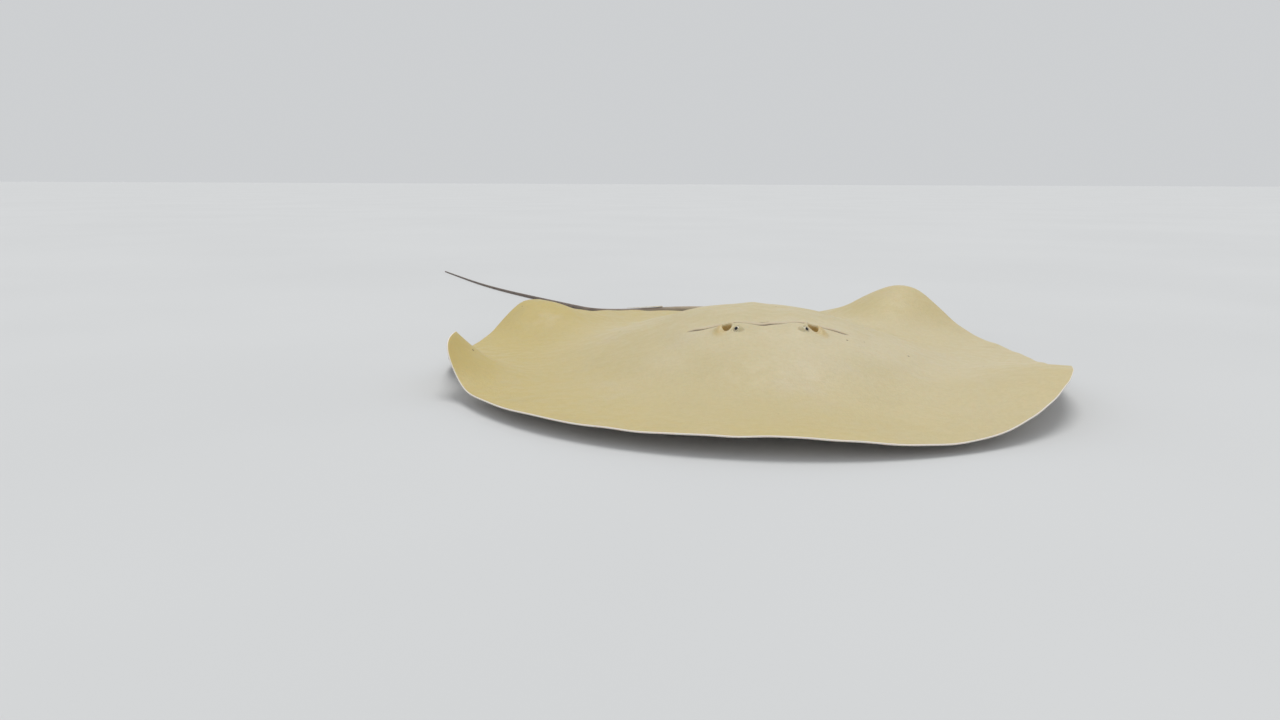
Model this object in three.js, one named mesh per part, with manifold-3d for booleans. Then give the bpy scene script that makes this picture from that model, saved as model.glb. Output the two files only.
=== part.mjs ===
// A freshwater discus stingray, life size, resting on its belly with a rippled disc margin.
//
// Units are millimetres. The origin is on the floor under the middle of the disc, the snout points
// towards -Y, the animal's left side is +X and up is +Z. The disc is modelled whole in polar form:
// a thin sheet whose margin is lifted into lobes, thickened along its own normal. It is then parted
// by thin cuts into head, trunk and pectoral fins.

import * as THREE from 'three';
import { mergeVertices } from 'three/addons/utils/BufferGeometryUtils.js';
import Module from 'manifold-3d';

const wasm = await Module();
wasm.setup();

const DEG = Math.PI / 180;
const smoothStep = (t) => THREE.MathUtils.smoothstep(t, 0, 1);

// ---- driving dimensions ----------------------------------------------------------------------

// Disc outline from above. Directions are turned from the snout towards the animal's left.
const DISC = {
  halfWidth: 195,
  halfLength: 200,
  snoutDimple: { at: -3 * DEG, width: 22 * DEG, depth: 0.02 },
  tailNotch: { at: 180 * DEG, width: 7.5 * DEG, depth: 0.15 },
  leftTuck: { at: 84.5 * DEG, width: 39.8 * DEG, depth: 0.116 },
};

// How the lift grows between the flat middle and the margin: as a soft roll, or folded up close to it.
const ROLL_START = 0.55;
const FOLD_START = 0.72;
const soft = (rho) => smoothStep((rho - ROLL_START) / (1 - ROLL_START));
const folded = (rho) => Math.max((rho - FOLD_START) / (1 - FOLD_START), 0) ** 2;

// Lift of the margin off the floor, as bumps along it. A bump leans inwards by its curl times its height.
const MARGIN_LIFT = 4.7;
const LOBES = {
  front: { at: -18 * DEG, width: 45 * DEG, height: 3.3, curl: 0, rise: soft },
  snout: { at: -1 * DEG, width: 15 * DEG, height: 2.3, curl: 0, rise: soft },
  leftFrontDip: { at: 21 * DEG, width: 15 * DEG, height: -2.9, curl: 0, rise: soft },
  leftFront: { at: 54 * DEG, width: 20.7 * DEG, height: 15.6, curl: 0, rise: soft },
  leftRear: { at: 138.5 * DEG, width: 13.3 * DEG, height: 30.5, curl: 0, rise: soft },
  rightFlare: { at: -64.9 * DEG, width: 4.2 * DEG, height: 6.7, curl: -0.8, rise: folded },
  rightHorn: { at: -70.9 * DEG, width: 8 * DEG, height: 24.4, curl: 0.24, rise: folded },
  rightDip: { at: -106.6 * DEG, width: 11.7 * DEG, height: -1.7, curl: 0, rise: soft },
  rightRear: { at: -123.8 * DEG, width: 11.7 * DEG, height: 19.3, curl: 0, rise: soft },
  rightBack: { at: -142.3 * DEG, width: 21.2 * DEG, height: 5.3, curl: 0, rise: soft },
};

// Heights of the body over the disc.
const BODY = {
  crown: 36.9,
  crownY: -7,
  frontReach: 198,
  rearReach: 247,
  lengthPower: 1.5,
  sideReach: 103.6,
  rim: 1,
  finFlesh: 9,
};

// Plan of the head and trunk between the pectoral fins.
const CORE = {
  halfWidth: 64,
  snoutEnd: 120,
  tailEnd: 174,
  rootHalfWidth: 7.5,
  headEnd: -20,
};

const EYE = { x: 18.5, y: -60, above: 1.3, radius: 3 };
const EYE_MOUND = { x: 19, y: -55, below: 2, size: [11, 14, 4.8] };
const SPIRACLE = { x: 24.6, y: -54.5, above: 1.5, size: [3, 5, 5], turn: 12 * DEG };
const SPIRACLE_KNOB = { x: 29.2, y: -55.5, below: 1, size: [3.2, 6, 3.4] };

const MOUTH = { y: -98, size: [14, 2.2, 3] };
const NOSTRIL = { x: 10.5, y: -107, size: [3.8, 1.7, 2.4], turn: 25 * DEG };
const GILLS = { count: 5, x: 35, y: -62, step: 8.5, inward: 2.2, size: [4, 1, 2], turn: 18 * DEG };
const CLOACA = { y: 112, size: [2.2, 6, 3] };

const PELVIC = { root: 6, span: 82, y: 125, sweep: 16, chord: 52, thickness: 1.6 };

// Tail: distances run along it from the trunk, bends are turns towards the animal's right.
const TAIL = {
  length: 580,
  baseRadius: 6.4,
  whipRadius: 2.4,
  tipRadius: 0.7,
  rootFrom: 100,
  rootHalfWidth: 20,
  rootHeight: 15,
  sides: 12,
};
const TAIL_BENDS = [
  { from: 10, over: 104, turn: 106 * DEG },
  { from: 132, over: 62, turn: -70 * DEG },
  { from: 268, over: 232, turn: -8.5 * DEG },
];
const TAIL_CUTS = [0, 66, 190, 370, TAIL.length];

const STING = { at: 108, length: 33, halfWidth: 1.5, thickness: 0.9, barbs: 9, rise: -0.5 * DEG };

const GAP = 0.3;
// Directions and rings of the disc's surface. The directions lie closer together at the fold.
const AROUND = 86;
const RINGS = 12;
const FOLD_DETAIL = { at: -68 * DEG, width: 20 * DEG, closer: 1.6 };

// ---- finishes --------------------------------------------------------------------------------

const finishes = {
  back: new THREE.MeshStandardMaterial({ color: 0xd6c28c, roughness: 0.6, metalness: 0 }),
  fin: new THREE.MeshStandardMaterial({ color: 0xdcc684, roughness: 0.6, metalness: 0 }),
  pelvic: new THREE.MeshStandardMaterial({ color: 0xb98a78, roughness: 0.6, metalness: 0 }),
  tail: new THREE.MeshStandardMaterial({ color: 0xa08c78, roughness: 0.65, metalness: 0 }),
  sting: new THREE.MeshStandardMaterial({ color: 0xe6dcc4, roughness: 0.45, metalness: 0 }),
  eye: new THREE.MeshStandardMaterial({ color: 0x1e1c18, roughness: 0.1, metalness: 0 }),
};

// ---- shape of the disc -----------------------------------------------------------------------

// Bell-shaped bump around a direction, 1 at its middle.
function bump(theta, { at, width }) {
  const away = THREE.MathUtils.euclideanModulo(theta - at + Math.PI, 2 * Math.PI) - Math.PI;
  return Math.exp(-((away / width) ** 2));
}

function discRadius(theta) {
  const ellipse = 1 / Math.hypot(Math.sin(theta) / DISC.halfWidth, Math.cos(theta) / DISC.halfLength);
  return [DISC.snoutDimple, DISC.tailNotch, DISC.leftTuck].reduce(
    (radius, feature) => radius * (1 - feature.depth * bump(theta, feature)),
    ellipse,
  );
}

// Height of the belly side over the floor, and how far it leans inwards.
const lobeLift = (lobe, theta, rho) => lobe.height * bump(theta, lobe) * lobe.rise(rho);

function lift(theta, rho) {
  const base = MARGIN_LIFT * soft(rho);
  return Object.values(LOBES).reduce((sum, lobe) => sum + lobeLift(lobe, theta, rho), base);
}

function lean(theta, rho) {
  return Object.values(LOBES).reduce((sum, lobe) => sum + lobe.curl * lobeLift(lobe, theta, rho), 0);
}

// Height of the back over the belly along the midline, and away from it.
function crownHeight(y) {
  const reach = y < BODY.crownY ? -BODY.frontReach : BODY.rearReach;
  const t = Math.min((y - BODY.crownY) / reach, 1);
  return BODY.crown * Math.cos((Math.PI / 2) * t) ** BODY.lengthPower;
}

function thickness(x, y, rho) {
  const sideReach = BODY.sideReach * Math.sqrt(Math.max(1 - ((y + 5) / 235) ** 2, 0.05));
  const bell = (1 + Math.abs(x / sideReach) ** 2.6) ** -1.7;
  const fadeOut = smoothStep((1 - rho) / 0.55) ** 0.8;
  const flesh = BODY.finFlesh * (1 - rho) ** 1.2 * (1 - bell);
  return BODY.rim + (Math.max(crownHeight(y), BODY.rim) - BODY.rim) * bell * fadeOut + flesh;
}

// Point of the belly side of the disc, at a direction and a share of the way out to the margin.
function bellyPoint(theta, rho) {
  const reach = rho * discRadius(theta) - lean(theta, rho);
  return new THREE.Vector3(reach * Math.sin(theta), -reach * Math.cos(theta), lift(theta, rho));
}

function backPoint(theta, rho) {
  const step = 1e-3;
  const flat = rho * discRadius(theta);
  const outward = bellyPoint(theta, rho + step).sub(bellyPoint(theta, rho - step));
  const along = bellyPoint(theta + step, rho).sub(bellyPoint(theta - step, rho));
  const normal = outward.cross(along).normalize();
  const height = thickness(flat * Math.sin(theta), -flat * Math.cos(theta), rho);
  return bellyPoint(theta, rho).addScaledVector(normal, height);
}

// Height of the back over a point of the unlifted middle.
function backHeight(x, y) {
  return thickness(x, y, Math.hypot(x, y) / discRadius(Math.atan2(x, -y)));
}

// ---- solids ----------------------------------------------------------------------------------

function solid(geometry) {
  const bare = geometry.clone();
  bare.deleteAttribute('normal');
  bare.deleteAttribute('uv');
  const merged = mergeVertices(bare, 1e-3);
  return new wasm.Manifold(new wasm.Mesh({
    numProp: 3,
    vertProperties: new Float32Array(merged.attributes.position.array),
    triVerts: new Uint32Array(merged.index.array),
  }));
}

function geometryOf(manifold) {
  const mesh = manifold.getMesh();
  const geometry = new THREE.BufferGeometry();
  geometry.setAttribute('position', new THREE.BufferAttribute(mesh.vertProperties, 3));
  geometry.setIndex(new THREE.BufferAttribute(mesh.triVerts, 1));
  geometry.computeVertexNormals();
  return geometry;
}

// Closed surface over rings of points, all of one length, with a point at each end.
function ringGeometry(firstPole, rings, lastPole) {
  const count = rings[0].length;
  const points = [firstPole, ...rings.flat(), lastPole];
  const last = points.length - 1;
  const faces = [];
  for (let k = 0; k < count; k += 1) {
    const next = (k + 1) % count;
    faces.push(0, 1 + k, 1 + next);
    faces.push(last, last - count + next, last - count + k);
    for (let ring = 0; ring < rings.length - 1; ring += 1) {
      const inner = 1 + ring * count;
      const outer = inner + count;
      faces.push(inner + k, outer + k, outer + next);
      faces.push(inner + k, outer + next, inner + next);
    }
  }
  const geometry = new THREE.BufferGeometry().setFromPoints(points);
  geometry.setIndex(faces);
  return geometry;
}

// Directions around the disc, closer together at the fold of its right margin.
function discDirections() {
  const steps = 720;
  const fine = Array.from({ length: steps }, (_, k) => ((k + 0.5) / steps) * 2 * Math.PI);
  const density = fine.map((theta) => 1 + FOLD_DETAIL.closer * bump(theta, FOLD_DETAIL));
  const total = density.reduce((sum, share) => sum + share, 0);
  let passed = 0;
  return fine.filter((_, k) => {
    const before = Math.floor((passed / total) * AROUND);
    passed += density[k];
    return Math.floor((passed / total) * AROUND + 1e-9) > before;
  });
}

function discGeometry() {
  const directions = discDirections();
  const shares = Array.from({ length: RINGS }, (_, j) => 1 - (1 - (j + 1) / RINGS) ** 1.35);
  const back = shares.map((rho) => directions.map((theta) => backPoint(theta, rho)));
  const raised = shares.filter((rho) => rho > ROLL_START - 0.06).reverse();
  const belly = raised.map((rho) => directions.map((theta) => bellyPoint(theta, rho)));
  const top = new THREE.Vector3(0, 0, backHeight(0, 0));
  return ringGeometry(top, [...back, ...belly], new THREE.Vector3(0, 0, 0));
}

function ellipsoid([x, y, z], [sizeX, sizeY, sizeZ], turn = 0, around = 14, high = 9) {
  const geometry = new THREE.SphereGeometry(1, around, high).rotateX(Math.PI / 2);
  return geometry.scale(sizeX, sizeY, sizeZ).rotateZ(turn).translate(x, y, z);
}

function block([x0, x1], [y0, y1]) {
  const height = 300;
  return solid(new THREE.BoxGeometry(x1 - x0, y1 - y0, height).translate((x0 + x1) / 2, (y0 + y1) / 2, 0));
}

function prism(outline, bottom, top) {
  const shape = new THREE.Shape(outline.map(([x, y]) => new THREE.Vector2(x, y)));
  return solid(new THREE.ExtrudeGeometry(shape, { depth: top - bottom, bevelEnabled: false })
    .translate(0, 0, bottom));
}

// Half width of head and trunk seen from above.
function coreHalfWidth(y) {
  if (y < 0) return CORE.halfWidth * (1 - Math.min(-y / CORE.snoutEnd, 1) ** 2.2) ** (1 / 2.2);
  const taper = Math.cos((Math.PI / 2) * Math.min(y / CORE.tailEnd, 1)) ** 1.3;
  return CORE.rootHalfWidth + (CORE.halfWidth - CORE.rootHalfWidth) * taper;
}

// A closed outline, counter-clockwise, moved outwards by a margin.
function grown(outline, margin) {
  return outline.map(([x, y], k) => {
    const before = outline[(k + outline.length - 1) % outline.length];
    const after = outline[(k + 1) % outline.length];
    const along = new THREE.Vector2(after[0] - before[0], after[1] - before[1]).normalize();
    return [x + margin * along.y, y - margin * along.x];
  });
}

function coreOutline() {
  const steps = 28;
  const end = CORE.tailEnd + 4;
  const side = Array.from({ length: steps + 1 }, (_, k) => {
    const t = 0.5 - 0.5 * Math.cos((Math.PI * k) / steps);
    const y = -CORE.snoutEnd + (end + CORE.snoutEnd) * t;
    return [coreHalfWidth(y), y];
  });
  const mirrored = side.slice(1).reverse().map(([x, y]) => [-x, y]);
  return [...side, ...mirrored];
}

const corePrism = (margin) => prism(grown(coreOutline(), margin), -50, 150);

// Plan of the left pelvic fin, a swept, rounded wing.
function pelvicOutline() {
  const steps = 9;
  const across = Array.from({ length: steps + 1 }, (_, k) => Math.sin((Math.PI / 2) * (k / steps)));
  const edge = (side) => across.map((u) => {
    const halfChord = (PELVIC.chord / 2) * (1 - u ** 2.4) ** 0.65;
    return [PELVIC.root + u * (PELVIC.span - PELVIC.root), PELVIC.y + PELVIC.sweep * u + side * halfChord];
  });
  return [...edge(-1), ...edge(1).reverse().slice(1)];
}

const mirror = (outline) => outline.map(([x, y]) => [-x, y]).reverse();

// ---- tail ------------------------------------------------------------------------------------

function tailRadius(s) {
  const whip = TAIL.tipRadius + (TAIL.whipRadius - TAIL.tipRadius) * (1 - s / TAIL.length) ** 1.15;
  return whip + (TAIL.baseRadius - TAIL.whipRadius) * Math.exp(-s / 34);
}

function tailHeading(s) {
  return TAIL_BENDS.reduce((sum, bend) => sum + bend.turn * smoothStep((s - bend.from) / bend.over), 0);
}

// Middle of the tail over the floor at whole millimetres, found by walking along its heading.
const tailTrack = [new THREE.Vector2(0, CORE.tailEnd)];
for (let s = 0; s < TAIL.length; s += 1) {
  const heading = tailHeading(s + 0.5);
  const stride = new THREE.Vector2(-Math.sin(heading), Math.cos(heading));
  tailTrack.push(tailTrack[s].clone().add(stride));
}

function tailMiddle(s) {
  const whole = Math.min(Math.floor(s), TAIL.length - 1);
  return tailTrack[whole].clone().lerp(tailTrack[whole + 1], s - whole);
}

// Section of the tail: a ring with a flat facet on the floor.
function tailRing(s, halfWidth = tailRadius(s), height = 2 * halfWidth) {
  const heading = tailHeading(s);
  const { x, y } = s < 0 ? new THREE.Vector2(0, CORE.tailEnd + s) : tailMiddle(s);
  const facet = Math.PI / TAIL.sides;
  return Array.from({ length: TAIL.sides }, (_, k) => {
    const angle = -Math.PI / 2 + facet + 2 * facet * k;
    const across = halfWidth * Math.cos(angle);
    const up = (height / 2) * (Math.sin(angle) + Math.cos(facet));
    return new THREE.Vector3(x + across * Math.cos(heading), y + across * Math.sin(heading), up);
  });
}

function tubeGeometry(rings) {
  const middle = (ring) => ring.reduce((sum, p) => sum.add(p), new THREE.Vector3()).divideScalar(ring.length);
  return ringGeometry(middle(rings[0]), rings, middle(rings[rings.length - 1]));
}

// Distances of the rings of one length of tail, closer together where it bends.
function tailStations(from, to) {
  const stations = [from];
  while (stations[stations.length - 1] < to) {
    const s = stations[stations.length - 1];
    const bend = Math.abs(tailHeading(s + 5) - tailHeading(s)) / 5;
    stations.push(Math.min(s + THREE.MathUtils.clamp((7 * DEG) / (bend + 1e-6), 5, 24), to));
  }
  return stations;
}

function tailLength(from, to) {
  return tubeGeometry(tailStations(from, to).map((s) => tailRing(s)));
}

// Root of the tail over the rear of the trunk, widening forwards.
function tailRoot() {
  const steps = 8;
  const rings = Array.from({ length: steps + 1 }, (_, k) => {
    const t = 1 - k / steps;
    const halfWidth = TAIL.baseRadius + (TAIL.rootHalfWidth - TAIL.baseRadius) * t ** 1.4;
    const height = 2 * TAIL.baseRadius + (TAIL.rootHeight - 2 * TAIL.baseRadius) * t;
    return tailRing(-(CORE.tailEnd - TAIL.rootFrom) * t - GAP / 2, halfWidth, height);
  });
  return solid(tubeGeometry(rings));
}

// Sting: a flat spine with backward barbs along both edges, lying on top of the tail.
function stingGeometry() {
  const edge = [];
  for (let k = 0; k < STING.barbs; k += 1) {
    const along = (STING.length * (k + 1)) / (STING.barbs + 1);
    const width = STING.halfWidth * (1 - 0.7 * (along / STING.length) ** 1.5);
    edge.push([width * 0.72, along], [width, along - 1.2]);
  }
  const side = [[STING.halfWidth * 0.8, 0], ...edge];
  const outline = [...side, [0, STING.length], ...mirror(side)];
  const shape = new THREE.Shape(outline.map(([x, y]) => new THREE.Vector2(x, y)));
  const { x, y } = tailMiddle(STING.at);
  const top = tailRadius(STING.at) * (1 + Math.cos(Math.PI / TAIL.sides));
  return new THREE.ExtrudeGeometry(shape, { depth: STING.thickness, bevelEnabled: false })
    .rotateX(STING.rise)
    .rotateZ(tailHeading(STING.at + STING.length / 2))
    .translate(x, y, top + GAP);
}

// ---- the animal ------------------------------------------------------------------------------

const sides = { left: 1, right: -1 };

// Eye mounds, spiracles and the knobs beside them, on both sides of the head.
function addHeadRelief(disc) {
  let shaped = disc;
  for (const side of Object.values(sides)) {
    const place = ({ x, y }, up) => [side * x, y, backHeight(x, y) + up];
    const mound = ellipsoid(place(EYE_MOUND, -EYE_MOUND.below), EYE_MOUND.size, 0, 16, 10);
    const knob = ellipsoid(place(SPIRACLE_KNOB, -SPIRACLE_KNOB.below), SPIRACLE_KNOB.size);
    const pit = ellipsoid(place(SPIRACLE, SPIRACLE.above), SPIRACLE.size, side * SPIRACLE.turn);
    const socketRadius = EYE.radius + GAP;
    const socket = ellipsoid(place(EYE, EYE.above), [socketRadius, socketRadius, socketRadius]);
    shaped = shaped.add(solid(mound)).add(solid(knob)).subtract(solid(pit)).subtract(solid(socket));
  }
  return shaped;
}

// Mouth, nostrils, gill slits and cloaca, sunk into the flat belly.
function cutBelly(disc) {
  const mouth = ellipsoid([0, MOUTH.y, 0], MOUTH.size, 0, 12, 6);
  const cloaca = ellipsoid([0, CLOACA.y, 0], CLOACA.size, 0, 8, 4);
  const cuts = [mouth, cloaca];
  for (const side of Object.values(sides)) {
    cuts.push(ellipsoid([side * NOSTRIL.x, NOSTRIL.y, 0], NOSTRIL.size, side * NOSTRIL.turn, 8, 4));
    for (let k = 0; k < GILLS.count; k += 1) {
      const place = [side * (GILLS.x - GILLS.inward * k), GILLS.y + GILLS.step * k, 0];
      cuts.push(ellipsoid(place, GILLS.size, side * GILLS.turn, 8, 4));
    }
  }
  return cuts.reduce((shape, cut) => shape.subtract(solid(cut)), disc);
}

function cutPelvicPockets(disc) {
  const outline = grown(pelvicOutline(), GAP);
  const top = PELVIC.thickness + GAP;
  return disc.subtract(prism(outline, -5, top)).subtract(prism(mirror(outline), -5, top));
}

const whole = cutPelvicPockets(cutBelly(addHeadRelief(solid(discGeometry()))));
const farAway = 400;
const body = whole.intersect(corePrism(-GAP / 2));
const fins = whole.subtract(corePrism(GAP / 2));
const head = body.intersect(block([-farAway, farAway], [-farAway, CORE.headEnd - GAP / 2]));
const trunk = body
  .add(cutBelly(cutPelvicPockets(tailRoot())))
  .intersect(block([-farAway, farAway], [CORE.headEnd + GAP / 2, CORE.tailEnd - GAP / 2]));
const besideTail = block([-CORE.rootHalfWidth - 1.2, CORE.rootHalfWidth + 1.2], [CORE.tailEnd - 1, farAway]);

const animal = new THREE.Group();

function addNode(name, geometry, material) {
  const mesh = new THREE.Mesh(geometry, material);
  mesh.name = name;
  animal.add(mesh);
}

addNode('head', geometryOf(head), finishes.back);
addNode('trunk', geometryOf(trunk), finishes.back);
for (const [name, side] of Object.entries(sides)) {
  const half = side > 0 ? [GAP / 2, farAway] : [-farAway, -GAP / 2];
  const fin = fins.intersect(block(half, [-farAway, farAway])).subtract(besideTail);
  addNode(`pectoral_fin_${name}`, geometryOf(fin), finishes.fin);
  const plan = side > 0 ? pelvicOutline() : mirror(pelvicOutline());
  addNode(`pelvic_fin_${name}`, geometryOf(prism(plan, 0, PELVIC.thickness)), finishes.pelvic);
  const eyeAt = [side * EYE.x, EYE.y, backHeight(EYE.x, EYE.y) + EYE.above];
  addNode(`eye_${name}`, ellipsoid(eyeAt, [EYE.radius, EYE.radius, EYE.radius]), finishes.eye);
}
for (let k = 1; k < TAIL_CUTS.length; k += 1) {
  const end = k < TAIL_CUTS.length - 1 ? TAIL_CUTS[k] - GAP / 2 : TAIL_CUTS[k];
  addNode(`tail_${k}`, tailLength(TAIL_CUTS[k - 1] + GAP / 2, end), finishes.tail);
}
addNode('sting', stingGeometry(), finishes.sting);

export default animal;
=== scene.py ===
"""A freshwater discus stingray, life size, resting on its belly: skin, eyes and sting over its solids.

Shapes are worked out in millimetres, in the frame of the solids: the origin on the floor under the
middle of the disc, the snout towards -Y, the animal's left towards +X and up +Z. A mesh is scaled to
metres when it is made.
"""

import math

import bmesh
import bpy
import numpy as np
from mathutils import Matrix, Vector


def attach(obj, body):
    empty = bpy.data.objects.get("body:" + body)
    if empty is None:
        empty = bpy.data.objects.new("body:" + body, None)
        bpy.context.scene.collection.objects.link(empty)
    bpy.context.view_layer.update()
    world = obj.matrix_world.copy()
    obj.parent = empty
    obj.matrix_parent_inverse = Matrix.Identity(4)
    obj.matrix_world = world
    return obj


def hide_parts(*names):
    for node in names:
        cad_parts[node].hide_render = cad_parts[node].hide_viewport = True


MM = 0.001
DEG = math.pi / 180

# ---- sizes of the animal, mm, most of them those of the solids ---------------------------------

HALF_WIDTH = 195.0
HALF_LENGTH = 200.0
# Direction, width in degrees and depth of the snout's dimple, the notch at the tail and the left tuck.
OUTLINE_DIPS = ((-3, 22, 0.02), (180, 7.5, 0.15), (84.5, 39.8, 0.116))

# The margin is lifted as a soft roll, or folded up close to the edge.
MARGIN_LIFT = 4.7
ROLL_START, FOLD_START = 0.55, 0.72
# Direction and width in degrees, height and inward curl of the soft and the folded lobes.
SOFT_LOBES = (
    (-18, 45, 3.3, 0.0),
    (-1, 15, 2.3, 0.0),
    (21, 15, -2.9, 0.0),
    (54, 20.7, 15.6, 0.0),
    (138.5, 13.3, 30.5, 0.0),
    (-106.6, 11.7, -1.7, 0.0),
    (-123.8, 11.7, 19.3, 0.0),
    (-142.3, 21.2, 5.3, 0.0),
)
FOLDED_LOBES = (
    (-64.9, 4.2, 6.7, -0.8),
    (-70.9, 8.0, 24.4, 0.24),
)

# The dome of the back: its crown, its reach to the front, rear and sides, and the powers of its curves.
CROWN, CROWN_Y = 36.9, -7.0
FRONT_REACH, REAR_REACH = 198.0, 247.0
LENGTH_POWER = 1.5
SIDE_REACH, SIDE_MIDDLE_Y, SIDE_HALF_LENGTH = 103.6, -5.0, 235.0
BELL_INNER_POWER, BELL_OUTER_POWER = 2.6, 1.7
# Thickness at the edge, and the flesh of the fins beside the dome.
RIM, FIN_FLESH = 1.0, 9.0

# The head and trunk between the fins, in plan.
CORE_HALF_WIDTH, SNOUT_END, TAIL_END, ROOT_HALF_WIDTH = 64.0, 120.0, 174.0, 7.5

# The left eye, the mound round it, the spiracle and the knob beside that. The right ones mirror them.
EYE_X, EYE_Y, EYE_ABOVE, EYE_RADIUS = 18.5, -60.0, 1.3, 3.0
MOUND_X, MOUND_Y, MOUND_SIZE = 19.0, -55.0, (11.0, 14.0)
SPIRACLE_X, SPIRACLE_Y, SPIRACLE_SIZE, SPIRACLE_TURN = 24.6, -54.5, (2.6, 4.8), 12 * DEG
KNOB_X, KNOB_Y, KNOB_SIZE = 29.2, -55.5, (3.0, 5.4)

MOUTH_Y, MOUTH_HALF_WIDTH, MOUTH_BOW = -98.0, 14.0, 0.012
NOSTRIL_X, NOSTRIL_Y, NOSTRIL_SIZE, CURTAIN_X = 10.5, -107.0, (3.6, 1.7), 9.5
GILL_COUNT, GILL_X, GILL_Y, GILL_STEP, GILL_INWARD, GILL_TURN = 5, 35.0, -62.0, 8.5, 2.2, 18 * DEG
CLOACA_Y, CLOACA_SIZE = 112.0, (1.9, 6)

PELVIC_ROOT, PELVIC_SPAN, PELVIC_Y, PELVIC_SWEEP, PELVIC_CHORD = 6.0, 82.0, 125.0, 16.0, 52.0
PELVIC_THICKNESS, PELVIC_CLEARANCE = 1.6, 0.5

TAIL_LENGTH, TAIL_BASE_RADIUS, TAIL_WHIP_RADIUS, TAIL_TIP_RADIUS = 580.0, 6.4, 2.4, 0.7
# The tail's root, which widens and rises forwards over the rear of the trunk.
TAIL_ROOT_FROM, TAIL_ROOT_HALF_WIDTH, TAIL_ROOT_POWER = 100.0, 20.0, 1.4
TAIL_ROOT_HEIGHT, TAIL_ROOT_END_HEIGHT, TAIL_ROOT_FLANK = 15.0, 12.0, 1.1
# Where each bend of the tail starts, how long it is and how far it turns, in degrees.
TAIL_BENDS = ((10, 104, 106), (132, 62, -70), (268, 232, -8.5))
# Where along the tail the sting starts, its length, its slope and its section.
STING_AT, STING_LENGTH, STING_RISE = 108.0, 33.0, -0.5 * DEG
STING_HALF_WIDTH, STING_HALF_HEIGHT, STING_BARBS, STING_CLEARANCE = 1.5, 0.45, 9, 0.3

# ---- heights and depths of the skin's relief, mm -----------------------------------------------

MOUND_HEIGHT, KNOB_HEIGHT = 2.9, 1.9
LID_THICKNESS, LID_RIM_HEIGHT, SOCKET_DEPTH = 0.45, 0.22, 3.4
# How steeply the lids fall away from the eyeball, and how softly they meet the mound.
LID_FALL, LID_BLEND = 6.0, 0.7
# The opening between the lids, seen from above: its place from the eye's middle, half sizes and turn.
OPENING_SHIFT, OPENING_SIZE, OPENING_TURN = (1.35, -1.6), (1.75, 1.5), -35 * DEG
SPIRACLE_DEPTH, SPIRACLE_RIM, SPIRACLE_RIM_BEHIND, SPIRACLE_RIM_AHEAD = 3.7, 0.1, 0.75, 0.8
# The fold behind the eyes: its y, how far it bows forward and where, and where it is widest and ends.
CREASE_Y, CREASE_BOW, CREASE_BOW_X, CREASE_WIDE_X, CREASE_END_X = -45.0, 3.0, 20.0, 41.0, 49.0
SHORT_CREASE_Y = -39.2
CREASE_DEPTH, LIP_HEIGHT = 1.1, 0.35
EYES_HOLLOW_DEPTH, SPINE_HEIGHT, GIRDLE_HEIGHT, SHOULDER_DEPTH = 0.8, 0.9, 0.8, 0.8
SWELL_HEIGHT, SWELL_LENGTH = 0.35, 46.0
RIPPLE_HEIGHT, RIPPLE_LENGTH = 0.25, 24.0

MOUTH_DEPTH, LIPS_DEPTH, NOSTRIL_DEPTH, CURTAIN_DEPTH = 2.6, 0.5, 2.0, 0.7
SLIT_DEPTH, FLAP_DEPTH = 1.6, 0.35
CLOACA_DEPTH, CLOACA_RING_DEPTH, TRUNK_EDGE_DEPTH = 2.6, 0.35, 0.5

# Where the "tailward" mask starts to rise over the trunk, and what it reaches where the tail starts.
TAIL_COLOUR_FROM, TAIL_ROOT_SHARE = 120.0, 0.1

# ---- fineness of the meshes --------------------------------------------------------------------

DIRECTIONS = 380
BACK_RINGS = 84
BELLY_RINGS = 52
RIM_ROWS = 5
# Oval patches on both sides of the midline where the cells are halved: their middle, their half sizes,
# and 1 for the back or 0 for the belly.
FINE_PATCHES = (
    ((0, -52), (50, 19), 1.0),
    ((0, -45.5), (50, 5), 1.0),
    ((EYE_X + 3, EYE_Y + 2), (10, 8), 1.0),
    ((0, -100), (17, 11), 0.0),
    ((0, -101), (16, 9), 0.0),
    ((31, -45), (11, 25), 0.0),
    ((31, -45), (10, 23), 0.0),
)
# Sides of the tail, how far it starts inside the trunk, and where the thin whip of it starts.
TAIL_SIDES, TAIL_INSIDE, TAIL_WHIP_FROM = 28, 38.0, 230.0
# Rows of points out along a pelvic fin, points across each, and steps along the sting.
PELVIC_ROWS, PELVIC_COLUMNS = 35, 21
STING_STATIONS = 120

# ---- bake map ----------------------------------------------------------------------------------

UV_PER_MM = 0.00122
BACK_UV, BELLY_UV = (0.25, 0.26), (0.75, 0.26)
TAIL_UV, TAIL_UV_PER_MM, TAIL_UV_ROUND = (0.03, 0.6), 0.0015, 0.05
LEFT_PELVIC_UV, RIGHT_PELVIC_UV, PELVIC_UV_UNDER = (0.2, 0.72), (0.7, 0.72), 0.14


# ---- shape of the disc -------------------------------------------------------------------------

def smooth_step(t):
    t = np.clip(t, 0.0, 1.0)
    return t * t * (3 - 2 * t)


def bump(theta, at, width):
    """Bell-shaped bump around a direction, 1 at its middle. Directions in degrees."""
    away = np.mod(theta - at * DEG + math.pi, 2 * math.pi) - math.pi
    return np.exp(-((away / (width * DEG)) ** 2))


def disc_radius(theta):
    radius = 1 / np.hypot(np.sin(theta) / HALF_WIDTH, np.cos(theta) / HALF_LENGTH)
    for at, width, depth in OUTLINE_DIPS:
        radius = radius * (1 - depth * bump(theta, at, width))
    return radius


def ramp_up(value, start, over):
    """0 up to the start and 1 from that far past it, smooth between."""
    return smooth_step((value - start) / over)


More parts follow.
